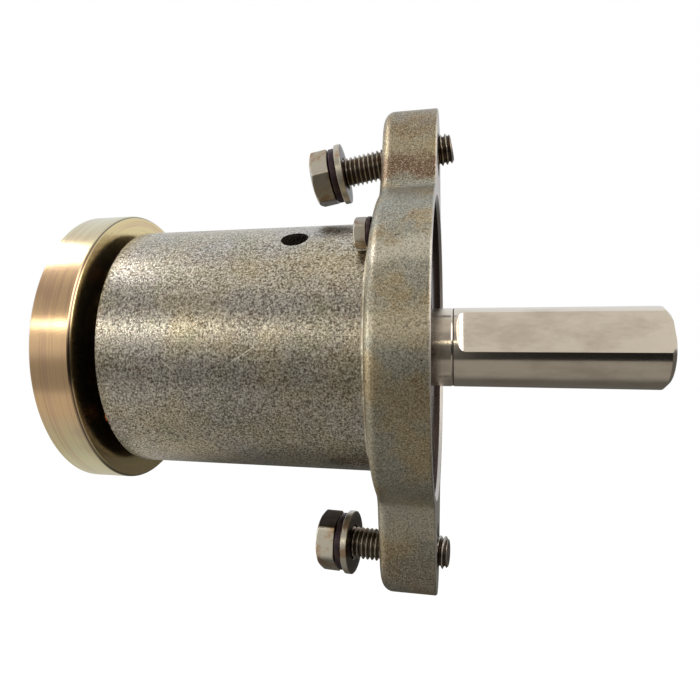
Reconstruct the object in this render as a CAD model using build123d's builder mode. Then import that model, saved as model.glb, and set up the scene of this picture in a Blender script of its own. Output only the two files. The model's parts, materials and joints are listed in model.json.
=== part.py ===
# Pump pedestal: a shaft on two sealed ball bearings in a flanged housing.
# Millimetres. +X runs along the shaft towards its free end, +Z is up and the
# two bolt ears lie on Z. The origin is on the shaft's axis, in the plane of
# the flange's mounting face.

import os
from math import asin, cos, hypot, radians, sin, sqrt, tan

from build123d import *

os.makedirs("parts", exist_ok=True)

# flange plate with its spigot: its round body stands out beyond the tube, and
# the flanks of its two ears flare out from the ears' round tips
plate_thickness = 17.0
plate_shoulder = 11.0
spigot_step = 1.0
spigot_height = 3.5
ear_hole_pitch = 126.0
ear_hole_radius = 7.0
ear_tip_radius = 14.5
ear_flare = 17.46
waist_fillet = 8.0
back_round = 3.5
front_chamfer = 0.4
spigot_chamfer = 0.8

# tube that holds the bearings
tube_wall = 9.0
tube_length = 99.0
tube_socket_depth = 5.0
tube_end_chamfer = 0.6
relief_depth = 1.0
relief_margin = 3.0
vent_radius = 4.2
vent_x = -41.7
vent_angle = 52.0
weld_leg_radial = 3.4
weld_leg_axial = 1.8

# shaft
shaft_radius = 12.5
shaft_reach = 66.0
shaft_chamfer = 1.5
flat_depth = 2.0
flat_angle = 24.0
flat_start_x = 5.6
flat_runout_radius = 3.0
tail_reach = 0.5
line_groove_x = 4.2
line_groove_width = 0.8
line_groove_depth = 0.25

# bearings, 25 x 62 x 17
bearing_outer_radius = 31.0
bearing_width = 17.0
ball_count = 7
ball_radius = 5.5
groove_clearance = 0.3
ring_land_height = 5.8
seal_seat_depth = 0.8
seal_seat_width = 1.3
seal_thickness = 0.8
seal_seat_slack = 0.05
cage_height_share = 0.5
cage_pocket_clearance = 0.3
cage_wall = 1.0
ring_chamfer = 1.0
bore_chamfer = 0.8
rear_bearing_inset = 10.0
bearing_shoulder = 4.0

# circlips, each in its groove, and the spacers on the shaft
bore_clip_thickness = 2.0
bore_clip_groove = 1.5
bore_clip_height = 2.4
bore_clip_lug_radius = 2.6
bore_clip_gap_angle = 5.0
shaft_clip_thickness = 1.2
shaft_clip_groove = 0.6
shaft_clip_height = 2.7
shaft_clip_lug_radius = 2.0
shaft_clip_gap_angle = 8.0
clip_lug_lift = 1.0
clip_hole_radius = 1.0
clip_side_gap = 0.1
spacer_wall = 3.5
disc_spacer_wall = 5.0
spacer_chamfer = 0.5

# drive disc and what holds it
disc_radius = 46.0
disc_thickness = 14.0
disc_gap = 4.0
disc_chamfer = 0.8
disc_hole_pitch_radius = 32.0
disc_hole_radius = 3.4
disc_hole_count = 4
disc_recess_radius = 21.0
disc_recess_depth = 2.0
key_size = (10.0, 8.0, 7.0)
key_depth = 4.0
key_chamfer = 0.3
key_top_gap = 0.2
key_end_play = 1.5
end_washer_radius = 19.0
end_washer_thickness = 4.0

# fasteners
m10_radius = 5.0
m10_flats = 17.0
m10_head = 6.4
top_bolt_length = 40.0
bottom_bolt_length = 35.0
end_bolt_length = 25.0
top_bolt_tilt = 10.3
bottom_bolt_swing = 7.0
top_bolt_tip_x = 4.2
bottom_bolt_tip_x = 3.3
top_bolt_drop = 0.25
bottom_bolt_drop = 1.35
top_bolt_roll = 15.0
bottom_bolt_roll = 22.0
top_split_angle = 60.0
bottom_split_angle = 200.0
end_split_angle = 130.0
small_split_angle = 200.0
flat_washer_radii = (5.35, 10.0)
flat_washer_thickness = 2.0
spring_washer_radii = (5.2, 9.05)
spring_washer_thickness = 2.4
m5_radius = 2.5
m5_flats = 8.0
m5_head = 3.5
m5_length = 12.0
small_washer_radii = (2.6, 4.6)
small_washer_thickness = 1.3
small_screw_offset = 4.5
small_screw_angle = 43.5
small_pocket_gap = 0.4
small_pocket_depth = 6.0
hex_corner_cut = 0.4
thread_chamfer_share = 0.16
washer_chamfer = 0.2
washer_play = 0.3

# fits and small gaps
fit = 0.02
running_gap = 0.1
hole_play = 0.05
seat_gap = 0.05

# front shaft seal, 25 x 47 x 7: an outer wall, a sealing lip with a groove
# for its spring, and a dust lip in front
seal_outer_radius = 23.5
seal_width = 7.0
seal_recess = 0.5
seal_shoulder = 3.5
seal_shell_wall = 2.1
seal_lip_touch = 0.08
seal_web_height = 0.9
seal_lip_height = 2.7
seal_web_thickness = 2.2
seal_lip_inset = 1.6
seal_spring_wire = 0.7
seal_lead_in = 0.6

# radii that follow from the bearings
tube_radius = bearing_outer_radius + tube_wall
plate_radius = tube_radius + plate_shoulder
spigot_radius = plate_radius - spigot_step
small_screw_radius = tube_radius + small_screw_offset
ball_pitch_radius = (shaft_radius + bearing_outer_radius) / 2
inner_ring_outer = shaft_radius + ring_land_height
outer_ring_inner = bearing_outer_radius - ring_land_height
cage_half_height = cage_height_share * (outer_ring_inner - inner_ring_outer) / 2
seal_seat_radius = outer_ring_inner + seal_seat_depth

# where things sit along X
tube_end_x = -tube_length
tube_foot_x = -plate_thickness + tube_socket_depth
front_bearing_x = tube_foot_x - bearing_width / 2
rear_bearing_x = tube_end_x + rear_bearing_inset + bearing_width / 2
disc_front_x = tube_end_x - disc_gap
disc_back_x = disc_front_x - disc_thickness
disc_seat_x = disc_back_x + disc_recess_depth
shaft_tail_x = disc_seat_x + tail_reach
ear_tip_z = ear_hole_pitch / 2
outward = Plane.YZ


def save(part, name):
    """Names a finished piece and writes it to the parts folder."""
    part.label = name
    export_step(part, f"parts/{name}.step")


def turned(outline):
    """A solid of revolution about X from (x, radius) corners."""
    with BuildPart() as piece:
        with BuildSketch(Plane.XY):
            with BuildLine():
                Polyline(*outline, close=True)
            make_face()
        revolve(axis=Axis.X)
    return piece.part


def ring(x_start, x_end, inner, outer, chamfer_size=0.0):
    """A plain ring about X, with its two outer edges chamfered."""
    c = chamfer_size
    if c == 0.0:
        return turned([(x_start, inner), (x_end, inner), (x_end, outer), (x_start, outer)])
    return turned([(x_start, inner), (x_end, inner), (x_end, outer - c), (x_end - c, outer),
                   (x_start + c, outer), (x_start, outer - c)])


def towards_camera(radius, angle):
    """(y, z) of a point at a radius, its angle measured up from -Y."""
    return (-radius * cos(radians(angle)), radius * sin(radians(angle)))


def ear_flanks():
    """Corners of an ear's flanks, from the tip circle down to the plate's middle."""
    flare = radians(ear_flare)
    tip = (ear_tip_radius * cos(flare), ear_tip_z + ear_tip_radius * sin(flare))
    foot = (tip[0] + tip[1] * tan(flare), 0)
    return [tip, foot, (-foot[0], 0), (-tip[0], tip[1])]


small_screw_yz = towards_camera(small_screw_radius, small_screw_angle)

# flange plate: round body with two ears, rounded at the back
with BuildPart() as flange_plate:
    with BuildSketch(outward.offset(-plate_thickness)) as flange_outline:
        Circle(plate_radius)
        for side in (1, -1):
            with Locations((0, side * ear_tip_z)):
                Circle(ear_tip_radius)
            with BuildLine():
                Polyline(*[(y, side * z) for y, z in ear_flanks()], close=True)
            make_face()
        waist_corners = flange_outline.vertices().filter_by(
            lambda v: abs(hypot(v.X, v.Y) - plate_radius) < 0.01 and abs(v.Y) > 1)
        fillet(waist_corners, waist_fillet)
    extrude(amount=plate_thickness)
    fillet(faces().sort_by(Axis.X)[0].edges(), back_round)
    chamfer(faces().sort_by(Axis.X)[-1].edges(), front_chamfer)
    with BuildSketch(outward):
        Circle(spigot_radius)
    extrude(amount=spigot_height)
    chamfer(faces().sort_by(Axis.X)[-1].edges(), spigot_chamfer)
    # stepped bore: tube socket, shoulder beside the bearing, lip and seal seat
    seal_seat_x = spigot_height - seal_width - 2 * seal_recess
    lip_radius = seal_outer_radius - seal_shoulder
    shoulder_radius = bearing_outer_radius - bearing_shoulder
    shoulder_x = tube_foot_x + relief_depth
    with BuildSketch(Plane.XY):
        with BuildLine():
            Polyline(
                (-plate_thickness, 0), (spigot_height, 0), (spigot_height, seal_outer_radius + seal_lead_in),
                (spigot_height - seal_lead_in, seal_outer_radius), (seal_seat_x, seal_outer_radius),
                (seal_seat_x, lip_radius), (shoulder_x, lip_radius), (shoulder_x, shoulder_radius),
                (tube_foot_x, shoulder_radius), (tube_foot_x, tube_radius + fit),
                (-plate_thickness, tube_radius + fit), close=True)
        make_face()
    revolve(axis=Axis.X, mode=Mode.SUBTRACT)
    with BuildSketch(outward.offset(-plate_thickness)):
        with Locations((0, ear_tip_z), (0, -ear_tip_z)):
            Circle(ear_hole_radius)
    extrude(amount=plate_thickness, mode=Mode.SUBTRACT)
    with BuildSketch(outward.offset(-plate_thickness)):
        with Locations(small_screw_yz):
            Circle(m5_radius + hole_play)
    extrude(amount=m5_length, mode=Mode.SUBTRACT)
save(flange_plate.part, "flange_plate")

# bearing tube: bearing seats at both ends, a relieved middle, a vent hole
bore_groove_x = rear_bearing_x - bearing_width / 2
bore_groove_start_x = bore_groove_x - bore_clip_thickness - 2 * clip_side_gap
bore_groove_radius = bearing_outer_radius + bore_clip_groove
relief_start_x = rear_bearing_x + bearing_width / 2 + relief_margin
relief_end_x = front_bearing_x - bearing_width / 2 - relief_margin
relief_radius = bearing_outer_radius + relief_depth
with BuildPart() as bearing_tube:
    with BuildSketch(Plane.XY):
        with BuildLine():
            Polyline(
                (tube_end_x, bearing_outer_radius + ring_chamfer),
                (tube_end_x + ring_chamfer, bearing_outer_radius),
                (bore_groove_start_x, bearing_outer_radius), (bore_groove_start_x, bore_groove_radius),
                (bore_groove_x, bore_groove_radius), (bore_groove_x, bearing_outer_radius),
                (relief_start_x, bearing_outer_radius), (relief_start_x + relief_depth, relief_radius),
                (relief_end_x - relief_depth, relief_radius), (relief_end_x, bearing_outer_radius),
                (tube_foot_x, bearing_outer_radius), (tube_foot_x, tube_radius),
                (tube_end_x + tube_end_chamfer, tube_radius),
                (tube_end_x, tube_radius - tube_end_chamfer), close=True)
        make_face()
    revolve(axis=Axis.X)
    vent_yz = towards_camera(1.0, vent_angle)
    vent_plane = Plane(origin=(vent_x, 0, 0), x_dir=(1, 0, 0), z_dir=(0, vent_yz[0], vent_yz[1]))
    with BuildSketch(vent_plane):
        Circle(vent_radius)
    extrude(amount=tube_radius + tube_wall, mode=Mode.SUBTRACT)
    # shallow pocket that clears the small screw's head
    with BuildSketch(outward.offset(-plate_thickness - small_pocket_depth)):
        with Locations(small_screw_yz):
            Circle(small_washer_radii[1] + small_pocket_gap)
    extrude(amount=small_pocket_depth, mode=Mode.SUBTRACT)
save(bearing_tube.part, "bearing_tube")

# weld bead in the corner of tube and plate
with BuildPart() as weld_bead:
    bead_x = -plate_thickness
    bead_r = tube_radius + fit
    with BuildSketch(Plane.XY):
        with BuildLine():
            Polyline((bead_x, bead_r + weld_leg_radial), (bead_x, bead_r), (bead_x - weld_leg_axial, bead_r))
            ThreePointArc(
                (bead_x - weld_leg_axial, bead_r),
                (bead_x - 0.62 * weld_leg_axial, bead_r + 0.62 * weld_leg_radial),
                (bead_x, bead_r + weld_leg_radial))
        make_face()
    revolve(axis=Axis.X)
    with BuildSketch(outward.offset(bead_x - weld_leg_axial)):
        with Locations(small_screw_yz):
            Circle(small_washer_radii[1] + small_pocket_gap)
    extrude(amount=weld_leg_axial, mode=Mode.SUBTRACT)
save(weld_bead.part, "weld_bead")

# shaft: ground bar with a keyway, a circlip groove, a tapped tail and a flat
shaft_groove_x = front_bearing_x + bearing_width / 2
shaft_groove_end_x = shaft_groove_x + shaft_clip_thickness + clip_side_gap
shaft_groove_radius = shaft_radius - shaft_clip_groove
shaft_outline = [
    (shaft_tail_x, 0), (shaft_reach, 0), (shaft_reach, shaft_radius - shaft_chamfer),
    (shaft_reach - shaft_chamfer, shaft_radius), (line_groove_x + line_groove_width, shaft_radius),
    (line_groove_x + line_groove_width / 2, shaft_radius - line_groove_depth),
    (line_groove_x, shaft_radius), (shaft_groove_end_x, shaft_radius),
    (shaft_groove_end_x, shaft_groove_radius), (shaft_groove_x, shaft_groove_radius),
    (shaft_groove_x, shaft_radius), (shaft_tail_x + ring_chamfer, shaft_radius),
    (shaft_tail_x, shaft_radius - ring_chamfer)]
key_x = (disc_front_x + disc_seat_x) / 2
flat_yz = towards_camera(1.0, flat_angle)
with BuildPart() as shaft:
    with BuildSketch(Plane.XZ):
        with BuildLine():
            Polyline(*shaft_outline, close=True)
        make_face()
    revolve(axis=Axis.X)
    # the flat is cut along the shaft with a rounded run-out at its inner end
    flat_plane = Plane(origin=(0, 0, 0), x_dir=(1, 0, 0), z_dir=(0, -flat_yz[1], flat_yz[0]))
    flat_floor = shaft_radius - flat_depth
    clear_x = shaft_reach + shaft_chamfer
    clear_z = shaft_radius + flat_depth
    with BuildSketch(flat_plane):
        with BuildLine():
            Polyline(
                (flat_start_x + flat_runout_radius, flat_floor), (clear_x, flat_floor),
                (clear_x, clear_z), (flat_start_x, clear_z),
                (flat_start_x, flat_floor + flat_runout_radius))
            RadiusArc(
                (flat_start_x, flat_floor + flat_runout_radius),
                (flat_start_x + flat_runout_radius, flat_floor), -flat_runout_radius)
        make_face()
    extrude(amount=shaft_radius, both=True, mode=Mode.SUBTRACT)
    # keyway on top, open at the tail
    with BuildSketch(Plane.XY.offset(shaft_radius - key_depth)):
        with Locations((key_x - key_end_play, 0)):
            Rectangle(key_size[0] + 2 * (key_end_play + hole_play), key_size[1] + 2 * hole_play)
    extrude(amount=key_size[2], mode=Mode.SUBTRACT)
    # tapped hole for the end bolt
    with BuildSketch(outward.offset(shaft_tail_x)):
        Circle(m10_radius + hole_play)
    extrude(amount=end_bolt_length, mode=Mode.SUBTRACT)
save(shaft.part, "shaft")

# drive disc with its bore, keyway and four tapped holes
with BuildPart() as drive_disc:
    with BuildSketch(Plane.XY):
        with BuildLine():
            Polyline(
                (disc_seat_x, shaft_radius + fit), (disc_front_x, shaft_radius + fit),
                (disc_front_x, disc_radius - disc_chamfer), (disc_front_x - disc_chamfer, disc_radius),
                (disc_back_x + disc_chamfer, disc_radius), (disc_back_x, disc_radius - disc_chamfer),
                (disc_back_x, disc_recess_radius), (disc_seat_x, disc_recess_radius), close=True)
        make_face()
    revolve(axis=Axis.X)
    with BuildSketch(outward.offset(disc_back_x)):
        with PolarLocations(disc_hole_pitch_radius, disc_hole_count, start_angle=45):
            Circle(disc_hole_radius)
        with Locations((0, shaft_radius)):
            Rectangle(key_size[1] + 2 * hole_play, 2 * (key_size[2] - key_depth + key_top_gap))
    extrude(amount=disc_thickness, mode=Mode.SUBTRACT)
save(drive_disc.part, "drive_disc")

with BuildPart() as disc_key:
    with Locations((key_x, 0, shaft_radius - key_depth + hole_play)):
        Box(*key_size, align=(Align.CENTER, Align.CENTER, Align.MIN))
    chamfer(disc_key.edges().filter_by(Axis.X), key_chamfer)
save(disc_key.part, "disc_key")

# spacers on the shaft between the bearings and next to the disc
save(ring(rear_bearing_x + bearing_width / 2 + fit, front_bearing_x - bearing_width / 2 - fit,
          shaft_radius + fit, shaft_radius + spacer_wall, spacer_chamfer), "spacer_sleeve")
save(ring(disc_front_x + fit, rear_bearing_x - bearing_width / 2 - fit,
          shaft_radius + fit, shaft_radius + disc_spacer_wall, spacer_chamfer), "disc_spacer")


def bearing_rings(centre_x):
    """Outer and inner ring of a ball bearing, with raceways and seal seats."""
    half = bearing_width / 2
    race = ball_radius + groove_clearance
    seat = half - seal_seat_width
    outer_edge = bearing_outer_radius - fit
    left, right = centre_x - half, centre_x + half
    with BuildPart() as outer_ring:
        with BuildSketch(Plane.XY):
            with BuildLine():
                Polyline(
                    (left, seal_seat_radius), (centre_x - seat, seal_seat_radius),
                    (centre_x - seat, outer_ring_inner), (centre_x + seat, outer_ring_inner),
                    (centre_x + seat, seal_seat_radius), (right, seal_seat_radius),
                    (right, outer_edge - ring_chamfer), (right - ring_chamfer, outer_edge),
                    (left + ring_chamfer, outer_edge), (left, outer_edge - ring_chamfer), close=True)
            make_face()
            with Locations((centre_x, ball_pitch_radius)):
                Circle(race, mode=Mode.SUBTRACT)
        revolve(axis=Axis.X)
    bore = shaft_radius + fit
    with BuildPart() as inner_ring:
        with BuildSketch(Plane.XY):
            with BuildLine():
                Polyline(
                    (left, bore + bore_chamfer), (left + bore_chamfer, bore),
                    (right - bore_chamfer, bore), (right, bore + bore_chamfer),
                    (right, inner_ring_outer), (left, inner_ring_outer), close=True)
            make_face()
            with Locations((centre_x, ball_pitch_radius)):
                Circle(race, mode=Mode.SUBTRACT)
        revolve(axis=Axis.X)
    return outer_ring.part, inner_ring.part


def ball_cage(centre_x):
    """Ring cage with a round pocket for each ball."""
    pocket = ball_radius + cage_pocket_clearance
    width = 2 * (pocket + cage_wall)
    cage_outer = ball_pitch_radius + cage_half_height
    with BuildPart() as cage:
        with BuildSketch(outward.offset(centre_x - width / 2)):
            Circle(cage_outer)
            Circle(ball_pitch_radius - cage_half_height, mode=Mode.SUBTRACT)
        extrude(amount=width)
        for index in range(ball_count):
            turn = radians(index * 360 / ball_count)
            pocket_plane = Plane(origin=(centre_x, 0, 0), x_dir=(1, 0, 0), z_dir=(0, -sin(turn), cos(turn)))
            with BuildSketch(pocket_plane):
                Circle(pocket)
            extrude(amount=cage_outer + ball_radius, mode=Mode.SUBTRACT)
    return cage.part


def bearing_ball(centre_x, index):
    """One ball at its place in the cage."""
    turn = radians(index * 360 / ball_count)
    with BuildPart() as ball:
        with Locations((centre_x, -ball_pitch_radius * sin(turn), ball_pitch_radius * cos(turn))):
            Sphere(ball_radius)
    return ball.part


for place, centre_x in (("front", front_bearing_x), ("rear", rear_bearing_x)):
    outer_ring_part, inner_ring_part = bearing_rings(centre_x)
    save(outer_ring_part, f"{place}_bearing_outer_ring")
    save(inner_ring_part, f"{place}_bearing_inner_ring")
    save(ball_cage(centre_x), f"{place}_bearing_cage")
    for index in range(ball_count):
        save(bearing_ball(centre_x, index), f"{place}_bearing_ball_{index + 1}")
    for side, name in ((-1, "left"), (1, "right")):
        near = centre_x + side * (bearing_width / 2 - seal_seat_width + seal_seat_slack)
        far = near + side * seal_thickness
        save(ring(min(near, far), max(near, far), inner_ring_outer + running_gap, seal_seat_radius - fit),
             f"{place}_bearing_seal_{name}")


def circlip(x_start, thickness, inner, outer, lug_centre, lug_radius, gap_half_angle):
    """Open retaining ring with two drilled lugs, its gap at the bottom."""
    with BuildPart() as clip:
        with BuildSketch(outward.offset(x_start)):
            Circle(outer)
            Circle(inner, mode=Mode.SUBTRACT)
            reach = outer + 2 * lug_radius
            spread = reach * tan(radians(gap_half_angle))
            with BuildLine():
                Polyline((0, 0), (spread, -reach), (-spread, -reach), close=True)
            make_face(mode=Mode.SUBTRACT)
            lug_angle = radians(gap_half_angle) + asin((lug_radius + clip_side_gap) / lug_centre)
            for side in (1, -1):
                with Locations((side * lug_centre * sin(lug_angle), -lug_centre * cos(lug_angle))):
                    Circle(lug_radius)
                    Circle(clip_hole_radius, mode=Mode.SUBTRACT)
        extrude(amount=thickness)
    return clip.part


bore_clip_inner = bearing_outer_radius - bore_clip_height
shaft_clip_outer = shaft_radius + shaft_clip_height
save(circlip(bore_groove_start_x + clip_side_gap, bore_clip_thickness, bore_clip_inner,
             bore_groove_radius - clip_side_gap, bore_clip_inner - clip_lug_lift,
             bore_clip_lug_radius, bore_clip_gap_angle), "bore_circlip")
save(circlip(shaft_groove_x + clip_side_gap / 2, shaft_clip_thickness, shaft_groove_radius + clip_side_gap,
             shaft_clip_outer, shaft_clip_outer + clip_lug_lift, shaft_clip_lug_radius,
             shaft_clip_gap_angle), "shaft_circlip")

# front shaft seal: rubber body with a sealing lip, a dust lip and a spring
seal_face_x = spigot_height - seal_recess
seal_back_x = seal_face_x - seal_width
seal_inner_end_x = seal_back_x + seal_lip_inset
shell = seal_outer_radius - fit
shell_inside = seal_outer_radius - seal_shell_wall
lip = shaft_radius + seal_lip_touch
web = shaft_radius + seal_web_height
lip_top = shaft_radius + seal_lip_height
web_back_x = seal_face_x - seal_web_thickness
save(turned([
    (seal_back_x, shell), (seal_face_x, shell), (seal_face_x, web + seal_lead_in),
    (seal_face_x - seal_web_thickness / 3, lip), (seal_face_x - 2 * seal_web_thickness / 3, web),
    (web_back_x - seal_lead_in, web), ((web_back_x + seal_inner_end_x) / 2, lip),
    (seal_inner_end_x, web + seal_lead_in), (seal_inner_end_x, lip_top),
    (web_back_x - 2 * seal_spring_wire, lip_top), (web_back_x, lip_top + seal_spring_wire),
    (web_back_x, shell_inside), (seal_back_x, shell_inside)]), "front_shaft_seal")
with BuildPart() as seal_spring:
    with BuildSketch(Plane.XY):
        with Locations((seal_inner_end_x + seal_spring_wire, lip_top + seal_spring_wire + seal_seat_slack)):
            Circle(seal_spring_wire)
    revolve(axis=Axis.X)
save(seal_spring.part, "seal_garter_spring")


def along(start, direction, roll=0.0):
    """Plane at a point with Z along a direction and X towards -Y, raised by roll."""
    plane = Plane(origin=start, x_dir=(0, -1, 0), z_dir=direction)
    return Plane(plane.location * Rotation(0, 0, -roll))


def hex_bolt(seat, radius, length, flats, head):
    """Hexagon bolt: seat is the plane under its head, Z towards the tip."""
    corner = flats / sqrt(3)
    with BuildPart() as bolt:
        with BuildSketch(seat):
            RegularPolygon(corner, 6)
        extrude(amount=-head)
        with BuildSketch(seat.offset(-head)):
            Circle(flats / 2 - hex_corner_cut)
        extrude(amount=head, taper=-60, mode=Mode.INTERSECT)
        with BuildSketch(seat):
            Circle(radius)
        extrude(amount=length)
        tip_edges = edges().filter_by(GeomType.CIRCLE).filter_by(
            lambda e: abs(seat.to_local_coords(e.center()).Z - length) < 0.01)
        chamfer(tip_edges, radius * thread_chamfer_share)
    return bolt.part


def flat_washer(seat, radii, thickness):
    """Plain washer on a plane, its thickness along the plane's Z."""
    with BuildPart() as washer:
        with BuildSketch(seat):
            Circle(radii[1])
            Circle(radii[0], mode=Mode.SUBTRACT)
        extrude(amount=thickness)
        chamfer(edges().filter_by(GeomType.CIRCLE).filter_by(lambda e: e.radius > radii[1] - 0.01),
                washer_chamfer)
    return washer.part


def spring_washer(seat, radii, thickness, split_angle):
    """Split washer: a ring with a slanted cut through one side."""
    middle = (radii[0] + radii[1]) / 2
    with BuildPart() as washer:
        with BuildSketch(seat):
            Circle(radii[1])
            Circle(radii[0], mode=Mode.SUBTRACT)
        extrude(amount=thickness)
        turned_seat = seat.offset(thickness / 2).location * Rotation(0, 0, split_angle)
        with Locations(turned_seat * Location((middle, 0, 0), (25, 0, 0))):
            Box(2 * middle, thickness * 0.45, thickness * 4, mode=Mode.SUBTRACT)
    return washer.part


# small screw with a spring washer in the back of the plate
screw_seat = along((-plate_thickness, small_screw_yz[0], small_screw_yz[1]), (1, 0, 0))
save(spring_washer(screw_seat.offset(-small_washer_thickness), small_washer_radii,
                   small_washer_thickness, small_split_angle), "small_spring_washer")
save(hex_bolt(screw_seat.offset(-small_washer_thickness - seat_gap), m5_radius, m5_length,
              m5_flats, m5_head), "small_screw")

# two M10 bolts lie loose in the ear holes, as the photograph shows them
tilt = radians(top_bolt_tilt)
top_direction = (cos(tilt), 0.0, sin(tilt))
top_tip_z = ear_tip_z - top_bolt_drop + (top_bolt_tip_x + plate_thickness / 2) * tan(tilt)
swing = radians(bottom_bolt_swing)
bottom_direction = (cos(swing), -sin(swing), 0.0)
bottom_bolt_z = -ear_tip_z - bottom_bolt_drop
bottom_tip_y = -(bottom_bolt_tip_x + plate_thickness / 2) * tan(swing)


def washer_stack(place, tip, direction, length, roll, split_angle):
    """Bolt with a spring washer against its head and a flat washer after it."""
    start = Vector(*tip) - Vector(*direction) * length
    seat = along((start.X, start.Y, start.Z), direction, roll)
    save(hex_bolt(seat, m10_radius, length, m10_flats, m10_head), f"{place}_bolt")
    spring_seat = seat.offset(seat_gap)
    save(spring_washer(spring_seat, spring_washer_radii, spring_washer_thickness, split_angle),
         f"{place}_spring_washer")
    flat_seat = spring_seat.offset(spring_washer_thickness + seat_gap)
    save(flat_washer(flat_seat, flat_washer_radii, flat_washer_thickness), f"{place}_flat_washer")


washer_stack("top", (top_bolt_tip_x, 0.0, top_tip_z), top_direction, top_bolt_length,
             top_bolt_roll, top_split_angle)
washer_stack("bottom", (bottom_bolt_tip_x, bottom_tip_y, bottom_bolt_z), bottom_direction,
             bottom_bolt_length, bottom_bolt_roll, bottom_split_angle)

# end washer in the disc's recess and the bolt that holds the disc on the shaft
end_washer_x = disc_seat_x - end_washer_thickness
end_washer_radii = (m10_radius + washer_play, end_washer_radius)
end_seat = along((end_washer_x - seat_gap, 0, 0), (1, 0, 0))
save(flat_washer(outward.offset(end_washer_x), end_washer_radii, end_washer_thickness), "end_washer")
save(spring_washer(end_seat.offset(-spring_washer_thickness), spring_washer_radii,
                   spring_washer_thickness, end_split_angle), "end_spring_washer")
save(hex_bolt(end_seat.offset(-spring_washer_thickness - seat_gap), m10_radius, end_bolt_length,
              m10_flats, m10_head), "end_bolt")
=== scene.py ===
# Pump pedestal: looks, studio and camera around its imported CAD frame, +X along the shaft and +Z up. The
# frame, the studio and all objects are in metres, the sizes of pieces and finishes in millimetres.
import json
from math import cos, pi, radians, sin, tan

import bmesh
import bpy
import numpy as np
from mathutils import Matrix, Vector


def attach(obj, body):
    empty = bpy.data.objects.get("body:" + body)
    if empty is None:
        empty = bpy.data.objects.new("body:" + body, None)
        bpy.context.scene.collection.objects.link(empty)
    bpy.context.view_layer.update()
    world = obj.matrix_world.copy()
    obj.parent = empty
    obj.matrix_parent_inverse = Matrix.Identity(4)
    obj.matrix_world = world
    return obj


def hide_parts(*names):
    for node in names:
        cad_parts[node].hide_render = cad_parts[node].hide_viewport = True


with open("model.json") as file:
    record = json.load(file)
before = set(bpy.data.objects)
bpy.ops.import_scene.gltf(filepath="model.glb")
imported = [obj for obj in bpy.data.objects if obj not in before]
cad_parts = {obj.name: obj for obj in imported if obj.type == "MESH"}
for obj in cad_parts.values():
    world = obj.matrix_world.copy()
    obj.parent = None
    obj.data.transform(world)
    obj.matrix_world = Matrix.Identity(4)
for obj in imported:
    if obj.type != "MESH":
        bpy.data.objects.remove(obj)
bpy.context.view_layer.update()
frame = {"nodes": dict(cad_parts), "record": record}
mm = 0.001
print("frame loaded:", len(frame["nodes"]), "nodes")


# A socket that can stand in a sum: 1 - mask or a * b + c adds the Math nodes for it.
class Wire:
    def __init__(self, finish, socket):
        self.finish = finish
        self.socket = socket

    def __add__(self, other):
        return self.finish.math("ADD", self, other)

    def __radd__(self, other):
        return self.finish.math("ADD", other, self)

    def __sub__(self, other):
        return self.finish.math("SUBTRACT", self, other)

    def __rsub__(self, other):
        return self.finish.math("SUBTRACT", other, self)

    def __mul__(self, other):
        return self.finish.math("MULTIPLY", self, other)

    def __rmul__(self, other):
        return self.finish.math("MULTIPLY", other, self)


# One node tree. node() adds any node: its type, its settings, then what goes into its sockets.
class Finish:
    def __init__(self, tree):
        self.tree = tree
        tree.nodes.clear()

    def node(self, kind, settings=None, sockets=None, output=0):
        made = self.tree.nodes.new(kind)
        for key, value in (settings or {}).items():
            setattr(made, key, value)
        for key, value in (sockets or {}).items():
            if isinstance(value, Wire):
                self.tree.links.new(value.socket, made.inputs[key])
            else:
                made.inputs[key].default_value = value
        return Wire(self, made.outputs[output]) if made.outputs else made

    def math(self, operation, first, second=0.0):
        return self.node("ShaderNodeMath", {"operation": operation}, {0: first, 1: second})

    # a colour between two others, by a factor
    def mix(self, factor, first, second):
        settings = {"data_type": "RGBA"}
        pick = {0: factor, 6: opaque(first), 7: opaque(second)}
        return self.node("ShaderNodeMix", settings, pick, 2)

    # 0 below low, 1 above high and a smooth rise between them
    def rise(self, value, low, high):
        settings = {"interpolation_type": "SMOOTHSTEP"}
        return self.node("ShaderNodeMapRange", settings, {0: value, 1: low, 2: high})

    # noise of the given size in millimetres: stretch multiplies each axis, and slow makes it turned rings
    def noise(self, size, detail, rough, stretch=(1.0, 1.0, 1.0), slow=None):
        point = self.point() if slow is None else self.turnedPoint(slow)
        put = self.node("ShaderNodeMapping", {"vector_type": "POINT"}, {0: point, 3: stretch})
        sockets = {"Vector": put, "Scale": 1.0 / (size * mm), "Detail": detail, "Roughness": rough}
        return self.node("ShaderNodeTexNoise", {"normalize": True}, sockets)

    def point(self):
        return self.node("ShaderNodeTexCoord", {}, {}, 3)

    # the three numbers of a vector
    def parts(self, vector):
        split = self.node("ShaderNodeSeparateXYZ", {}, {0: vector})
        return [Wire(self, out) for out in split.socket.node.outputs]

    # x along the shaft, distance from the shaft's axis and a slow drift across it, for turned rings
    def turnedPoint(self, slow):
        x, y, z = self.parts(self.point())
        away = self.math("SQRT", y * y + z * z)
        drift = (y + 0.7 * z) * slow
        return self.node("ShaderNodeCombineXYZ", {}, {0: x, 1: away, 2: drift})

    # 1 where light goes to the given kinds of ray, one value for each
    def rays(self, *kinds):
        outs = self.node("ShaderNodeLightPath").socket.node.outputs
        return [Wire(self, outs[kind]) for kind in kinds]

    # a bump of the given depth in millimetres, on top of the one below
    def bump(self, height, depth, strength, below=None):
        sockets = {"Strength": strength, "Distance": depth * mm, "Height": height}
        if below is not None:
            sockets["Normal"] = below
        return self.node("ShaderNodeBump", {}, sockets)

    def surface(self, sockets):
        shader = self.node("ShaderNodeBsdfPrincipled", {}, sockets)
        self.node("ShaderNodeOutputMaterial", {}, {0: shader})


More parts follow.
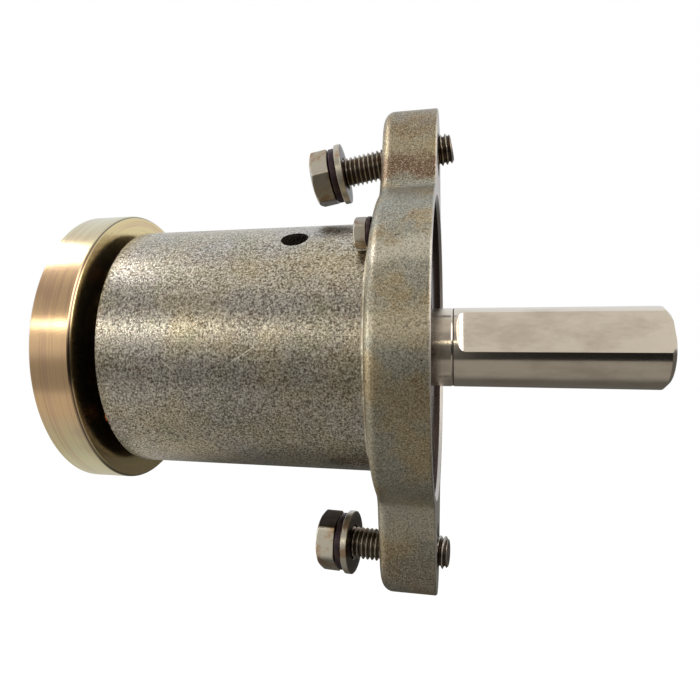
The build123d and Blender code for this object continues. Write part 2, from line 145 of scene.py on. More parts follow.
def opaque(colour):
    return colour if isinstance(colour, Wire) else (*colour, 1.0)


def newMaterial(name):
    material = bpy.data.materials.new(name)
    material.use_nodes = True
    return material, Finish(material.node_tree)


# A finish from its dictionary, whose lengths are in millimetres. Each coat of colour is mixed over the last
# where its mask rises through its span, the roughness is a start and a share of some masks, and each bump
# stands on the one before. A coat is a mask, its span or None where the mask is used as it is, a strength
# and a tone. A bump is a mask, a depth and a strength.
def makeFinish(name, look, ownMasks=None):
    material, f = newMaterial(name)
    masks = {key: f.noise(**size) for key, size in look["noises"].items()}
    if ownMasks:
        masks.update(ownMasks(f, masks, look))
    colour = look["tones"]["base"]
    for mask, span, strength, tone in look["coats"]:
        share = f.rise(masks[mask], *span) if span else masks[mask]
        colour = f.mix(share * strength, colour, look["tones"][tone])
    rough, shares = look["rough"]
    for mask, share in shares.items():
        rough = rough + share * masks[mask]
    normal = None
    for mask, depth, strength in look["bumps"]:
        normal = f.bump(masks[mask], depth, strength, normal)
    metallic = look.get("metallic", 1.0)
    f.surface({"Base Color": colour, "Metallic": metallic, "Roughness": rough, "Normal": normal})
    return material


# Dull zinc on the tube: grey and gold clouds, olive and red-brown stains, a fine blasted grain, scratches,
# and painted shade: its end face by the disc is painted near black, as the gap there is dark.
tubeZinc = {
    "tones": {
        "base": (0.46, 0.43, 0.40),
        "gold": (0.54, 0.46, 0.31),
        "olive": (0.34, 0.34, 0.22),
        "redBrown": (0.30, 0.19, 0.13),
        "bright": (0.92, 0.88, 0.78),
        "hollow": (0.09, 0.075, 0.06),
        # painted shade, near black, for the end face in the gap by the disc
        "oil": (0.03, 0.02, 0.02),
    },
    "noises": {
        "cloud": {"size": 34.0, "detail": 4.0, "rough": 0.6},
        "stain": {"size": 13.0, "detail": 5.0, "rough": 0.7},
        "streak": {"size": 9.0, "detail": 5.0, "rough": 0.75, "stretch": (0.35, 1.0, 1.0)},
        "grain": {"size": 0.58, "detail": 2.0, "rough": 0.8},
        "coarse": {"size": 1.5, "detail": 4.0, "rough": 0.75},
        "hair": {"size": 3.0, "detail": 2.0, "rough": 0.5, "stretch": (6.0, 0.5, 0.5)},
    },
    "coats": [
        ("cloud", (0.38, 0.62), 1.0, "gold"),
        ("stain", (0.50, 0.64), 0.55, "olive"),
        ("streak", (0.54, 0.70), 0.6, "redBrown"),
        ("fine", (0.52, 0.59), 0.85, "bright"),
        ("fine", (0.48, 0.41), 0.85, "hollow"),
        ("scratch", None, 1.0, "bright"),
        # painted shade: the end face by the disc, near black
        ("oiledEnd", None, 0.95, "oil"),
    ],
    "rough": (0.17, {"coarse": 0.14, "stain": 0.08, "scratch": 0.15}),
    "bumps": [("grain", 0.06, 1.0), ("coarse", 0.06, 0.6), ("scratchFloor", 0.03, 0.4)],
    "grainShare": 0.85,
    "hairSpan": (0.70, 0.74),
    "hairStrength": 0.5,
    # where the painted shade of the end face starts and is full, in x
    "endX": (-98.8, -98.95),
    "radius": 40.0,
    "scratchCore": 0.35,
    # start and end as x and turn up from -Y in degrees, width, strength
    "scratches": [
        ((-77.1, -8.0), (-73.0, -13.6), 0.16, 0.9),
        ((-55.5, -8.8), (-48.9, -2.7), 0.16, 0.9),
        ((-51.6, -6.1), (-48.1, -3.3), 0.1, 0.6),
        ((-81.8, -54.8), (-78.8, -51.8), 0.14, 0.8),
        ((-39.4, -7.4), (-38.1, -2.8), 0.1, 0.55),
        ((-54.3, 12.8), (-52.1, 15.8), 0.1, 0.6),
        ((-67.1, 17.0), (-64.5, 18.3), 0.08, 0.5),
        ((-46.4, 2.1), (-45.3, 5.3), 0.09, 0.5),
        ((-35.2, -4.6), (-33.2, -1.1), 0.09, 0.5),
        ((-70.3, -1.6), (-69.1, 0.5), 0.08, 0.5),
        ((-83.4, 30.4), (-82.1, 33.8), 0.09, 0.5),
        ((-62.9, -34.0), (-60.9, -30.8), 0.09, 0.5),
    ],
}


# 1 on a straight scratch over the unrolled tube, 0 off it: the distance from the nearest point of its line
def scratchMark(f, x, arc, start, end, width, core):
    reach = (end[0] - start[0], end[1] - start[1])
    size = reach[0] ** 2 + reach[1] ** 2
    share = (x - start[0]) * (reach[0] / size) + (arc - start[1]) * (reach[1] / size)
    share = f.math("MINIMUM", f.math("MAXIMUM", share, 0.0), 1.0)
    offX = x - start[0] - share * reach[0]
    offArc = arc - start[1] - share * reach[1]
    away = f.math("SQRT", offX * offX + offArc * offArc)
    return f.rise(away, width, core * width)


# where the tube is scratched, and where its end face is painted near black as the shade in the gap by the
# disc: x along it and the arc round it, both in millimetres
def tubeMasks(f, masks, look):
    x, y, z = f.parts(f.point())
    along = x * (1 / mm)
    arc = f.math("ARCTAN2", z, 0 - y) * look["radius"]
    scratch = f.rise(masks["hair"], *look["hairSpan"]) * look["hairStrength"]
    for start, end, width, strength in look["scratches"]:
        points = [(at, radians(turn) * look["radius"]) for at, turn in (start, end)]
        mark = scratchMark(f, along, arc, *points, width, look["scratchCore"]) * strength
        scratch = f.math("MAXIMUM", scratch, mark)
    fine = masks["grain"] * look["grainShare"] + masks["coarse"] * (1 - look["grainShare"])
    # painted shade on the end face, in the gap between tube and disc
    oiledEnd = f.rise(along, *look["endX"])
    return {"fine": fine, "scratch": scratch, "scratchFloor": 1 - scratch, "oiledEnd": oiledEnd}


# Dull zinc on the plate: olive-grey with gold-brown speckled patches and small pits, and bands by height of
# painted highlight and painted shade. The recess in its front and the bore are bare turned steel painted
# near black as shade, and the recess's mouth is bright.
plateZinc = {
    "tones": {
        "base": (0.38, 0.37, 0.31),
        "gold": (0.47, 0.38, 0.23),
        "brown": (0.24, 0.15, 0.09),
        "pale": (0.66, 0.62, 0.52),
        "bright": (0.84, 0.79, 0.66),
        "hollow": (0.08, 0.065, 0.05),
        "pit": (0.07, 0.05, 0.04),
        # painted shade: the recess and the bore near black, with lighter turned rings
        "oiledSteel": (0.09, 0.068, 0.062),
        "oiledRing": (0.20, 0.15, 0.13),
        "facedSteel": (0.60, 0.56, 0.52),
    },
    "noises": {
        "cloud": {"size": 18.0, "detail": 4.0, "rough": 0.6},
        "patch": {"size": 9.0, "detail": 5.0, "rough": 0.75},
        "grain": {"size": 0.46, "detail": 2.0, "rough": 0.8},
        "pits": {"size": 2.0, "detail": 2.0, "rough": 0.5},
        "rings": {"size": 0.5, "detail": 3.0, "rough": 0.6, "slow": 0.02},
    },
    "coats": [
        ("cloud", (0.42, 0.60), 1.0, "gold"),
        ("patch", (0.52, 0.74), 0.5, "brown"),
        # painted highlights, gold and pale, and painted shade, brown, in bands by height
        ("earMiddle", None, 0.7, "gold"),
        ("earFoot", None, 1.0, "brown"),
        ("earTop", None, 0.35, "brown"),
        ("shoulder", None, 0.85, "pale"),
        ("waist", None, 0.6, "gold"),
        ("waist", None, 0.35, "pale"),
        ("lowEarFoot", None, 0.6, "pale"),
        ("lowEarEnd", None, 0.4, "brown"),
        ("grain", (0.52, 0.62), 0.50, "bright"),
        ("grain", (0.48, 0.38), 0.60, "hollow"),
        ("pit", None, 0.8, "pit"),
        # painted shade in the recess and the bore, over their turned rings
        ("bare", None, 1.0, "oiledSteel"),
        ("bareRings", None, 1.0, "oiledRing"),
        ("faced", None, 0.8, "facedSteel"),
    ],
    "rough": (0.33, {"patch": 0.16, "bare": -0.14}),
    "bumps": [("outerGrain", 0.035, 1.0), ("pitFloor", 0.08, 0.8), ("innerRings", 0.01, 0.6)],
    # bands of painted highlight, gold or pale, and of painted shade, brown: height of the middle over the
    # shaft and half height
    "bands": {
        "earMiddle": (59.8, 2.6),
        "earFoot": (54.0, 3.8),
        "earTop": (70.0, 5.0),
        "shoulder": (22.8, 3.0),
        "waist": (3.0, 4.0),
        "lowEarFoot": (-50.0, 8.0),
        "lowEarEnd": (-68.0, 6.0),
    },
    "bandFade": 2.0,
    "bandCore": 0.5,
    "bandWander": 14.0,
    "pitSpan": (0.70, 0.78),
    "ringSpan": (0.4, 0.7),
    # the end in x and the edge in radius of the bare steel that is painted dark as shade, then the bright
    # mouth's and the faced front's
    "bareX": (-12.0, -11.5),
    "bareRadius": (47.2, 47.0),
    "mouthX": (-1.05, -0.95),
    "mouthRadii": ((46.9, 47.1), (48.3, 48.1)),
    "frontX": (-0.2, -0.1),
}


# where the plate has its bands of painted highlight and shade, its pits, and its bare steel painted dark as
# shade, by height, distance along the shaft and from its axis
def plateMasks(f, masks, look):
    x, y, z = f.parts(f.point())
    height = z * (1 / mm) + (masks["patch"] - 0.5) * look["bandWander"]
    made = {}
    # each band of painted highlight or painted shade, by height
    for band, (middle, half) in look["bands"].items():
        off = f.math("ABSOLUTE", height - middle)
        made[band] = f.rise(off, half + look["bandFade"], half * look["bandCore"])
    along = x * (1 / mm)
    away = f.math("SQRT", y * y + z * z) * (1 / mm)
    # the recess and the bore, whose bare steel is painted dark as shade
    bare = f.rise(along, *look["bareX"]) * f.rise(away, *look["bareRadius"])
    inner, outer = look["mouthRadii"]
    mouth = f.rise(along, *look["mouthX"]) * f.rise(away, *inner) * f.rise(away, *outer)
    pit = f.rise(masks["pits"], *look["pitSpan"])
    made["faced"] = f.math("MAXIMUM", mouth, f.rise(along, *look["frontX"]))
    made["pit"] = pit
    made["pitFloor"] = 1 - pit
    made["bare"] = bare
    made["bareRings"] = bare * f.rise(masks["rings"], *look["ringSpan"])
    made["outerGrain"] = masks["grain"] * (1 - bare)
    made["innerRings"] = masks["rings"] * bare
    return made


# Yellow passivated zinc on the turned disc: gold and mauve sheens, a painted sheen of pale green at its top
# and bottom, rings left by the lathe, and painted shade on the edge of its rim by the tube.
discZinc = {
    "tones": {
        "base": (0.82, 0.57, 0.34),
        # the painted sheen's pale green
        "greenGold": (0.76, 0.72, 0.47),
        "yellowGold": (0.84, 0.68, 0.36),
        "mauve": (0.62, 0.40, 0.31),
        "brown": (0.45, 0.28, 0.17),
        "bright": (0.95, 0.88, 0.66),
        # painted shade on the rim's edge by the gap
        "darkEdge": (0.11, 0.06, 0.07),
    },
    "noises": {
        "sheen": {"size": 26.0, "detail": 3.0, "rough": 0.6},
        "rings": {"size": 0.55, "detail": 4.0, "rough": 0.7, "slow": 0.02},
        "wideRings": {"size": 2.6, "detail": 2.0, "rough": 0.5, "slow": 0.03},
        "grain": {"size": 0.45, "detail": 2.0, "rough": 0.6},
    },
    "coats": [
        # painted sheen: green-gold at the top and bottom, by height
        ("steep", None, 1.0, "greenGold"),
        ("rightFace", None, 1.0, "yellowGold"),
        ("sheen", (0.52, 0.66), 0.4, "mauve"),
        ("wideRings", (0.48, 0.62), 0.35, "mauve"),
        ("rings", (0.50, 0.66), 0.35, "brown"),
        ("grain", (0.60, 0.78), 0.3, "bright"),
        # painted shade: the rim's edge by the right face, where the gap to the tube is dark
        ("edge", None, 0.85, "darkEdge"),
    ],
    "rough": (0.13, {"rings": 0.10, "sheen": 0.05}),
    "bumps": [("rings", 0.012, 0.7), ("grain", 0.012, 0.5)],
    # where the painted sheen starts and is full in height, and how far it wanders
    "steepHeight": (20.0, 36.0),
    "steepWander": 30.0,
    "faceX": (-103.2, -103.1),
    "edgeX": (-103.6, -103.45),
    "edgeRadius": (45.4, 45.5),
}


# where the disc is painted green as a sheen, by height, its right face, and the edge of its rim that is
# painted dark as shade
def discMasks(f, masks, look):
    x, y, z = f.parts(f.point())
    along = x * (1 / mm)
    away = f.math("SQRT", y * y + z * z) * (1 / mm)
    height = f.math("ABSOLUTE", z) * (1 / mm) + (masks["sheen"] - 0.5) * look["steepWander"]
    # the painted sheen by height, the right face, and the painted shade on the rim's edge
    return {
        "steep": f.rise(height, *look["steepHeight"]),
        "rightFace": f.rise(along, *look["faceX"]),
        "edge": f.rise(along, *look["edgeX"]) * f.rise(away, *look["edgeRadius"]),
    }


# Ground shaft: smooth and bright, fine rings, a little brown film.
shaftGround = {
    "tones": {"base": (0.84, 0.76, 0.65), "film": (0.56, 0.47, 0.39), "brownFilm": (0.50, 0.42, 0.36)},
    "noises": {
        "film": {"size": 9.0, "detail": 4.0, "rough": 0.6, "stretch": (0.5, 1.0, 1.0)},
        "rings": {"size": 0.25, "detail": 3.0, "rough": 0.6, "slow": 0.02},
        "wave": {"size": 2.2, "detail": 3.0, "rough": 0.6, "stretch": (0.35, 1.4, 1.4)},
    },
    "coats": [
        ("film", (0.42, 0.70), 0.6, "film"),
        ("wave", (0.55, 0.8), 0.25, "brownFilm"),
    ],
    "rough": (0.10, {"rings": 0.08, "film": 0.07}),
    "bumps": [("rings", 0.004, 0.5), ("wave", 0.02, 0.35)],
}


# Nickel-bright bolts with orange-brown tarnish in patches, and darkening where the mesh says so: in the
# thread roots, and painted shade on some head facets and on the flat washers' faces.
boltBright = {
    "tones": {
        "base": (0.62, 0.58, 0.50),
        "tarnish": (0.46, 0.28, 0.15),
        "darkSpeck": (0.12, 0.09, 0.07),
        "rubbed": (0.88, 0.84, 0.76),
        # darkening for grime and painted shade
        "grime": (0.07, 0.045, 0.03),
    },
    "noises": {
        "patch": {"size": 5.0, "detail": 4.0, "rough": 0.65},
        "grain": {"size": 0.4, "detail": 3.0, "rough": 0.7},
        "scuff": {"size": 1.3, "detail": 4.0, "rough": 0.7, "stretch": (1.0, 0.4, 1.0)},
    },
    "coats": [
        ("patch", (0.48, 0.64), 0.75, "tarnish"),
        ("grain", (0.58, 0.76), 0.4, "darkSpeck"),
        ("scuff", (0.62, 0.78), 0.4, "rubbed"),
        # grime and painted shade, as the mesh gives it
        ("grime", None, 1.0, "grime"),
    ],
    "rough": (0.22, {"patch": 0.14, "grain": 0.08}),
    "bumps": [("grain", 0.02, 0.6), ("scuff", 0.02, 0.4)],
    "grimeLeast": 0.75,
    "grimePatchy": 0.5,
    "grimeMost": 0.96,
}


# the mesh's own darkening, grime and painted shade, a little patchy and never quite full
def boltMasks(f, masks, look):
    drawn = f.node("ShaderNodeAttribute", {"attribute_name": "grime"}, {}, 2)
    grime = drawn * (look["grimeLeast"] + look["grimePatchy"] * masks["patch"])
    return {"grime": f.math("MINIMUM", grime, look["grimeMost"])}


# A plain metal: one colour that drifts to a second in clouds, fine grain, some gloss.
def plainMetal(colour, drift, rough, grainSize=0.4, depth=0.01):
    return {
        "tones": {"base": colour, "drift": drift},
        "noises": {
            "cloud": {"size": 6.0, "detail": 4.0, "rough": 0.6},
            "grain": {"size": grainSize, "detail": 3.0, "rough": 0.6},
        },
        "coats": [("cloud", (0.40, 0.66), 1.0, "drift"), ("grain", (0.60, 0.80), 0.35, "drift")],
        "rough": (rough, {"cloud": 0.10, "grain": 0.05}),
        "bumps": [("grain", depth, 0.6)],
    }


# Rubber and nylon: not metal, a slight mottle and a moulded grain.
def moulded(colour, drift, rough):
    return {
        "tones": {"base": colour, "drift": drift},
        "noises": {
            "cloud": {"size": 4.0, "detail": 3.0, "rough": 0.6},
            "grain": {"size": 0.3, "detail": 2.0, "rough": 0.6},
        },
        "coats": [("cloud", (0.40, 0.66), 1.0, "drift")],
        "rough": (rough, {"grain": 0.12}),
        "bumps": [("grain", 0.02, 0.5)],
        "metallic": 0.0,
    }


weldMetal = plainMetal((0.72, 0.69, 0.60), (0.42, 0.34, 0.25), 0.32, 0.6, 0.05)
bearingSteel = plainMetal((0.74, 0.74, 0.75), (0.62, 0.61, 0.60), 0.12, 0.3, 0.004)
springSteel = plainMetal((0.055, 0.038, 0.048), (0.12, 0.085, 0.08), 0.34, 0.4, 0.02)
plainSteel = plainMetal((0.56, 0.54, 0.51), (0.42, 0.38, 0.33), 0.30)
cageNylon = moulded((0.34, 0.29, 0.19), (0.28, 0.24, 0.16), 0.5)
blackRubber = moulded((0.022, 0.022, 0.023), (0.034, 0.032, 0.030), 0.55)

# one finish for each slot in the record
finishes = {
    "plate_steel": makeFinish("plateZinc", plateZinc, plateMasks),
    "tube_steel": makeFinish("tubeZinc", tubeZinc, tubeMasks),
    "weld_metal": makeFinish("weldMetal", weldMetal),
    "ground_steel": makeFinish("shaftGroundSteel", shaftGround),
    "yellow_zinc": makeFinish("discYellowZinc", discZinc, discMasks),
    "bearing_steel": makeFinish("bearingSteel", bearingSteel),
    "cage_nylon": makeFinish("cageNylon", cageNylon),
    "black_rubber": makeFinish("blackRubber", blackRubber),
    "spring_steel": makeFinish("springSteel", springSteel),
    "bright_steel": makeFinish("boltSteel", boltBright, boltMasks),
    "plain_steel": makeFinish("plainSteel", plainSteel),
}


# every CAD node takes the finish of its slot in the record
def dressNodes():
    for row in frame["record"]["subparts"]:
        mesh = frame["nodes"][row["node"]].data
        mesh.materials.clear()
        mesh.materials.append(finishes[row["material_slot"]])


dressNodes()
print("finishes made:", len(finishes))


# a mesh from points in millimetres, smooth but for the edges that bend by more than the angle in degrees
def newPiece(name, points, faces, sharpAngle):
    mesh = bpy.data.meshes.new(name)
    mesh.from_pydata((points * mm).tolist(), [], faces)
    mesh.shade_smooth()
    mesh.set_sharp_from_angle(angle=radians(sharpAngle))
    piece = bpy.data.objects.new(name, mesh)
    bpy.context.scene.collection.objects.link(piece)
    return piece


# Rows of points that wrap round, one row after another: rows x around x 3, in millimetres. A looped skin
# joins its last row to its first, any other is closed by a fan from the middle of each end row. Where the
# skin's volume comes out negative its faces look inwards, so they are turned over.
def wrapRows(name, rows, looped, sharpAngle):
    count, around = rows.shape[:2]
    index = np.arange(count * around).reshape(count, around)
    if looped:
        index = np.vstack([index, index[:1]])
    turned = np.roll(index, -1, axis=1)
    quads = np.stack([index[:-1], index[1:], turned[1:], turned[:-1]], axis=-1).reshape(-1, 4)
    points = rows.reshape(-1, 3)
    faces = quads.tolist()
    if not looped:
        ends = np.stack([rows[0].mean(axis=0), rows[-1].mean(axis=0)])
        first = np.full(around, count * around)
        faces += np.stack([first, index[0], turned[0]], axis=-1).tolist()
        faces += np.stack([first + 1, turned[-1], index[-1]], axis=-1).tolist()
        points = np.vstack([points, ends])
    piece = newPiece(name, points, faces, sharpAngle)
    a, b, c, d = (points[quads[:, k]] for k in range(4))
    volume = np.einsum("ij,ij->", a, np.cross(b, c)) + np.einsum("ij,ij->", a, np.cross(c, d))
    if volume < 0:
        piece.data.flip_normals()
    return piece


def place(piece, body, slotName, node):
    piece.data.materials.append(finishes[slotName])
    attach(piece, body)
    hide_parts(node)


# how dark each point of a piece is painted, for grime and painted shade, from 0 to 1
def setGrimeAndShade(piece, values):
    layer = piece.data.attributes.new("grime", "FLOAT", "POINT")
    layer.data.foreach_set("value", np.asarray(values, dtype=np.float32))


# the axis of a screw, and for each angle the direction square to it: 0 is towards -Y, and it turns up
def screwAxes(direction, angle):
    axis = np.array(direction) / np.linalg.norm(direction)
    side = np.array((0.0, -1.0, 0.0)) + axis[1] * axis
    side /= np.linalg.norm(side)
    up = np.cross(side, axis)
    return axis, np.cos(angle)[:, None] * side + np.sin(angle)[:, None] * up


# Screws, in millimetres and degrees. First what all of them share, then two sizes, then each screw.
screwForm = {
    # angles of the points, from one corner of the head to the next
    "spread": (0, 0.8, 2, 4, 8, 14, 22, 30, 38, 46, 52, 56, 58, 59.2),
    "cone": 30.0,
    # the shallow dish in the crown: depths and shares of its radius
    "dish": [(0.12, 0.35), (0.10, 0.80), (0.0, 0.84)],
    "crestPlay": 0.04,
    "depthPerPitch": 0.57,
    # shares of half a pitch: half the crest, then the flank beside it
    "crestShare": 0.14,
    "flankShare": 0.60,
    "threadStart": 0.02,
    # the point tapers from a little under the root
    "pointDepth": 1.05,
    "pointSlope": 1.1,
    "endHollow": (0.05, 0.5),
    "sharpAngle": 24.0,
    # rows of points that bound a facet of the head, and how far from its corner the painted shade begins
    "facetRows": slice(5, 9),
    "facetStart": 0.4,
    # darkening in the middles of the head's and the point's ends
    "endGrimeAndShade": [0.0, 0.2],
}
m10 = {
    "radius": 5.0, "flats": 17.0, "head": 6.4, "pitch": 1.5, "plain": 2.0, "rowsPerTurn": 14,
    "crownShare": 0.94, "seatShare": 0.95, "cornerWear": 0.22,
}
m5 = {
    "radius": 2.5, "flats": 8.0, "head": 3.5, "pitch": 0.8, "plain": 1.0, "rowsPerTurn": 12,
    "crownShare": 0.93, "seatShare": 0.94, "cornerWear": 0.12,
}
topTilt = radians(10.3)
bottomSwing = radians(7.0)
# roll turns the head about its axis, and the facets listed by number are painted dark, each by its amount:
# painted shade for facets that reflect dark
screws = {
    "top": {
        **m10, "name": "topBoltThreaded", "node": "top_bolt", "body": "housing",
        "length": 40.0, "tip": (4.2, 0.0, 65.058), "direction": (cos(topTilt), 0.0, sin(topTilt)),
        "roll": -6.5, "facetShade": {0: 0.15, 5: 0.4, 4: 0.5},
    },
    "bottom": {
        **m10, "name": "bottomBoltThreaded", "node": "bottom_bolt", "body": "housing",
        "length": 35.0, "tip": (3.3, -1.449, -64.35),
        "direction": (cos(bottomSwing), -sin(bottomSwing), 0.0), "roll": 37.5, "facetShade": {0: 0.9, 4: 0.1},
    },
    "end": {
        **m10, "name": "endBoltThreaded", "node": "end_bolt", "body": "rotor",
        "length": 25.0, "tip": (-96.5, 0.0, 0.0), "direction": (1.0, 0.0, 0.0),
        "roll": 10.0, "facetShade": {},
    },
    "small": {
        **m5, "name": "smallScrewThreaded", "node": "small_screw", "body": "housing",
        "length": 12.0, "tip": (-6.35, -32.28, 30.63), "direction": (1.0, 0.0, 0.0),
        "roll": 20.0, "facetShade": {0: 0.4},
    },
}


# Hexagon screw. Every row is a distance along the axis and, for each angle, a radius. The head's radius is
# half the flats over the cosine from the nearest flat's middle, its crown is cut by a 30 degree cone, and
# its edges are rounded by shares of the wear. The thread's radius falls from crest to root with the
# distance from the helix, and its roots are painted darker. Some facets of the head are painted dark as
# shade.
def hexScrew(size, form):
    flat = size["flats"] / 2
    head, length, wear = size["head"], size["length"], size["cornerWear"]
    angle = (np.radians(form["spread"])[None, :] + np.radians(60.0) * np.arange(6)[:, None]).ravel()
    toFlat = (angle + pi / 6) % (pi / 3) - pi / 6
    corner = np.minimum(flat / np.cos(pi / 6 - np.abs(toFlat)), flat / cos(pi / 6) - wear)
    crown = np.full_like(angle, flat * size["crownShare"])
    cone = (corner - crown) * tan(radians(form["cone"]))
    seat = np.full_like(angle, flat * size["seatShare"])
    still = np.zeros_like(angle)
    rows = [(still - head + depth, crown * share) for depth, share in form["dish"]]
    rows += [
        (still - head, crown - wear),
        (still - head + wear * 0.4, crown + wear * 0.3),
        (cone - head - wear * 0.3, corner - wear * 0.5),
        (cone - head + wear * 0.7, corner),
        (still - wear * 1.4, corner),
        (still - wear * 0.5, corner - wear),
        (still - wear * 0.4, seat),
        (still, seat - wear),
    ]
    pitch, crest = size["pitch"], size["radius"] - form["crestPlay"]
    depth = pitch * form["depthPerPitch"]
    steps = int(length / pitch * size["rowsPerTurn"])
    along = np.linspace(form["threadStart"], length, steps)[:, None]
    phase = np.abs(2 * ((along / pitch - angle[None, :] / (2 * pi)) % 1.0) - 1)
    groove = np.clip((phase - form["crestShare"]) / form["flankShare"], 0, 1) * depth
    groove = groove * np.clip((along - size["plain"]) / pitch, 0, 1)
    point = crest - depth * form["pointDepth"] + (length - along) * form["pointSlope"]
    thread = np.minimum(crest - groove, point)
    rows += [(still + along[k, 0], thread[k]) for k in range(steps)]
    hollow, share = form["endHollow"]
    rows += [(still + length - hollow, still + (crest - depth) * share)]
    away = np.array([row[0] for row in rows])
    radius = np.array([row[1] for row in rows])
    axis, around = screwAxes(size["direction"], angle + radians(size["roll"]))
    points = np.array(size["tip"]) + (away - length)[..., None] * axis + radius[..., None] * around
    piece = wrapRows(size["name"], points, False, form["sharpAngle"])
    grime = np.zeros(away.shape)
    shank = (away > form["threadStart"] / 2) & (away < length - form["threadStart"] / 2)
    # darker towards the thread's roots
    grime[shank] = np.clip((crest - radius) / depth, 0, 1)[shank]
    # painted shade on the head's facets listed by number
    facet, inFacet = np.divmod(np.degrees(angle), 60.0)
    for number, amount in size["facetShade"].items():
        grime[form["facetRows"], (facet == number) & (inFacet > form["facetStart"])] = amount
    setGrimeAndShade(piece, np.concatenate([grime.ravel(), form["endGrimeAndShade"]]))
    return piece


for screw in screws.values():
    place(hexScrew(screw, screwForm), screw["body"], "bright_steel", screw["node"])
print("screws made:", len(screws))


# the point on a screw's axis at a distance from under its head
def underHead(screw, distance):
    back = screw["length"] - distance
    return np.array(screw["tip"]) - back * np.array(screw["direction"])


# Split spring washers: each under the head of its screw, its gap's middle at the split in degrees.
m10Washer = {
    "radii": (5.2, 9.05), "thick": 2.1, "lift": 0.26, "gap": 7.0, "fromHead": 1.25,
    "steps": 90, "sectionSteps": 28, "boxPower": 0.28, "sharpAngle": 40.0,
}
smallWasher = {**m10Washer, "radii": (2.6, 4.6), "thick": 1.1, "lift": 0.16, "fromHead": 0.7}
washers = [
    {**m10Washer, "name": "topSpringWasherSplit", "node": "top_spring_washer", "on": "top", "split": 60.0},
    {**m10Washer, "name": "bottomSpringWasherSplit", "node": "bottom_spring_washer", "on": "bottom",
     "split": 200.0},
    {**m10Washer, "name": "endSpringWasherSplit", "node": "end_spring_washer", "on": "end", "split": 130.0},
    {**smallWasher, "name": "smallSpringWasherSplit", "node": "small_spring_washer", "on": "small",
     "split": 200.0},
]


# A rounded box section carried round one turn of a flat helix, its ends cut open. The section's corners
# come from a low power of the cosine and the sine.
def springWasher(size, screw):
    turns = np.linspace(0, 1, size["steps"])
    angle = radians(size["split"] + size["gap"] / 2) + radians(360.0 - size["gap"]) * turns
    section = np.linspace(0, 2 * pi, size["sectionSteps"], endpoint=False)
    waves = (np.cos(section), np.sin(section))
    outwards, upwards = [np.sign(wave) * np.abs(wave) ** size["boxPower"] for wave in waves]
    inner, outer = size["radii"]
    radius = (inner + outer) / 2 + outwards * (outer - inner) / 2
    climb = (turns - 0.5) * size["lift"]
    away = size["thick"] / 2 * upwards[None, :] + climb[:, None]
    axis, around = screwAxes(screw["direction"], angle)
    middle = underHead(screw, size["fromHead"])
    points = middle + away[..., None] * axis + radius[None, :, None] * around[:, None, :]
    return wrapRows(size["name"], points, False, size["sharpAngle"])


for washer in washers:
    screw = screws[washer["on"]]
    place(springWasher(washer, screw), screw["body"], "spring_steel", washer["node"])
print("spring washers made:", len(washers))


# Flat washers under the two bolts. Each corner of the section is a distance along the axis, a radius and
# how dark it is painted: painted shade darkest on the front face and the bore, less on the back face, none
# on the rim.
flatWashers = {
    "pieces": [
        ("topFlatWasherShaded", "top_flat_washer", "top"),
        ("bottomFlatWasherShaded", "bottom_flat_washer", "bottom"),
    ],
    "fromHead": 3.5,
    "steps": 120,
    "sharpAngle": 24.0,
    # painted shade on the faces and the bore, none on the rim
    "section": [
        (-1.0, 5.55, 0.6), (-1.0, 7.5, 0.5), (-1.0, 9.8, 0.2), (-0.8, 10.0, 0.0), (0.8, 10.0, 0.0),
        (0.95, 9.85, 0.3), (1.0, 9.7, 0.8), (1.0, 7.5, 1.0), (1.0, 5.55, 1.0), (0.8, 5.35, 1.0),
        (-0.8, 5.35, 0.9),
    ],
}


# the chamfered box section carried round the screw's axis
def flatWasher(name, screw, size):
    away, radius, grime = np.array(size["section"]).T
    axis, around = screwAxes(screw["direction"], np.linspace(0, 2 * pi, size["steps"], endpoint=False))
    middle = underHead(screw, size["fromHead"])
    points = middle + away[None, :, None] * axis + radius[None, :, None] * around[:, None, :]
    piece = wrapRows(name, points, True, size["sharpAngle"])
    # the painted shade of each corner, round the washer
    setGrimeAndShade(piece, np.tile(grime, size["steps"]))
    return piece


for name, node, on in flatWashers["pieces"]:
    place(flatWasher(name, screws[on], flatWashers), screws[on]["body"], "bright_steel", node)
print("flat washers made:", len(flatWashers["pieces"]))


# Weld bead: a fillet carried round the tube.
weld = {
    "name": "weldBeadLumpy",
    "radius": 40.0,
    "plateX": -17.0,
    "legOut": 3.4,
    "legBack": 1.9,
    "steps": 900,
    "sectionSteps": 12,
    "bellyPower": 0.85,
    # the two corners inside the metal, as shares of the legs back along the tube and out from it
    "roots": [(-0.25, -0.12), (-0.25, 1.0)],
    # height, number and start of each slow wave round the tube
    "waves": [(0.5, 7, 0.6), (0.4, 17, 2.0), (0.3, 41, 4.1)],
    # number of the ripples, then how far and how often they crowd together
    "ripples": 75,
    "crowding": (1.5, 5),
    # the legs' mean size and the shares of the waves and the ripples in it
    "swell": (0.93, 0.09, 0.03),
    "sharpAngle": 60.0,
}


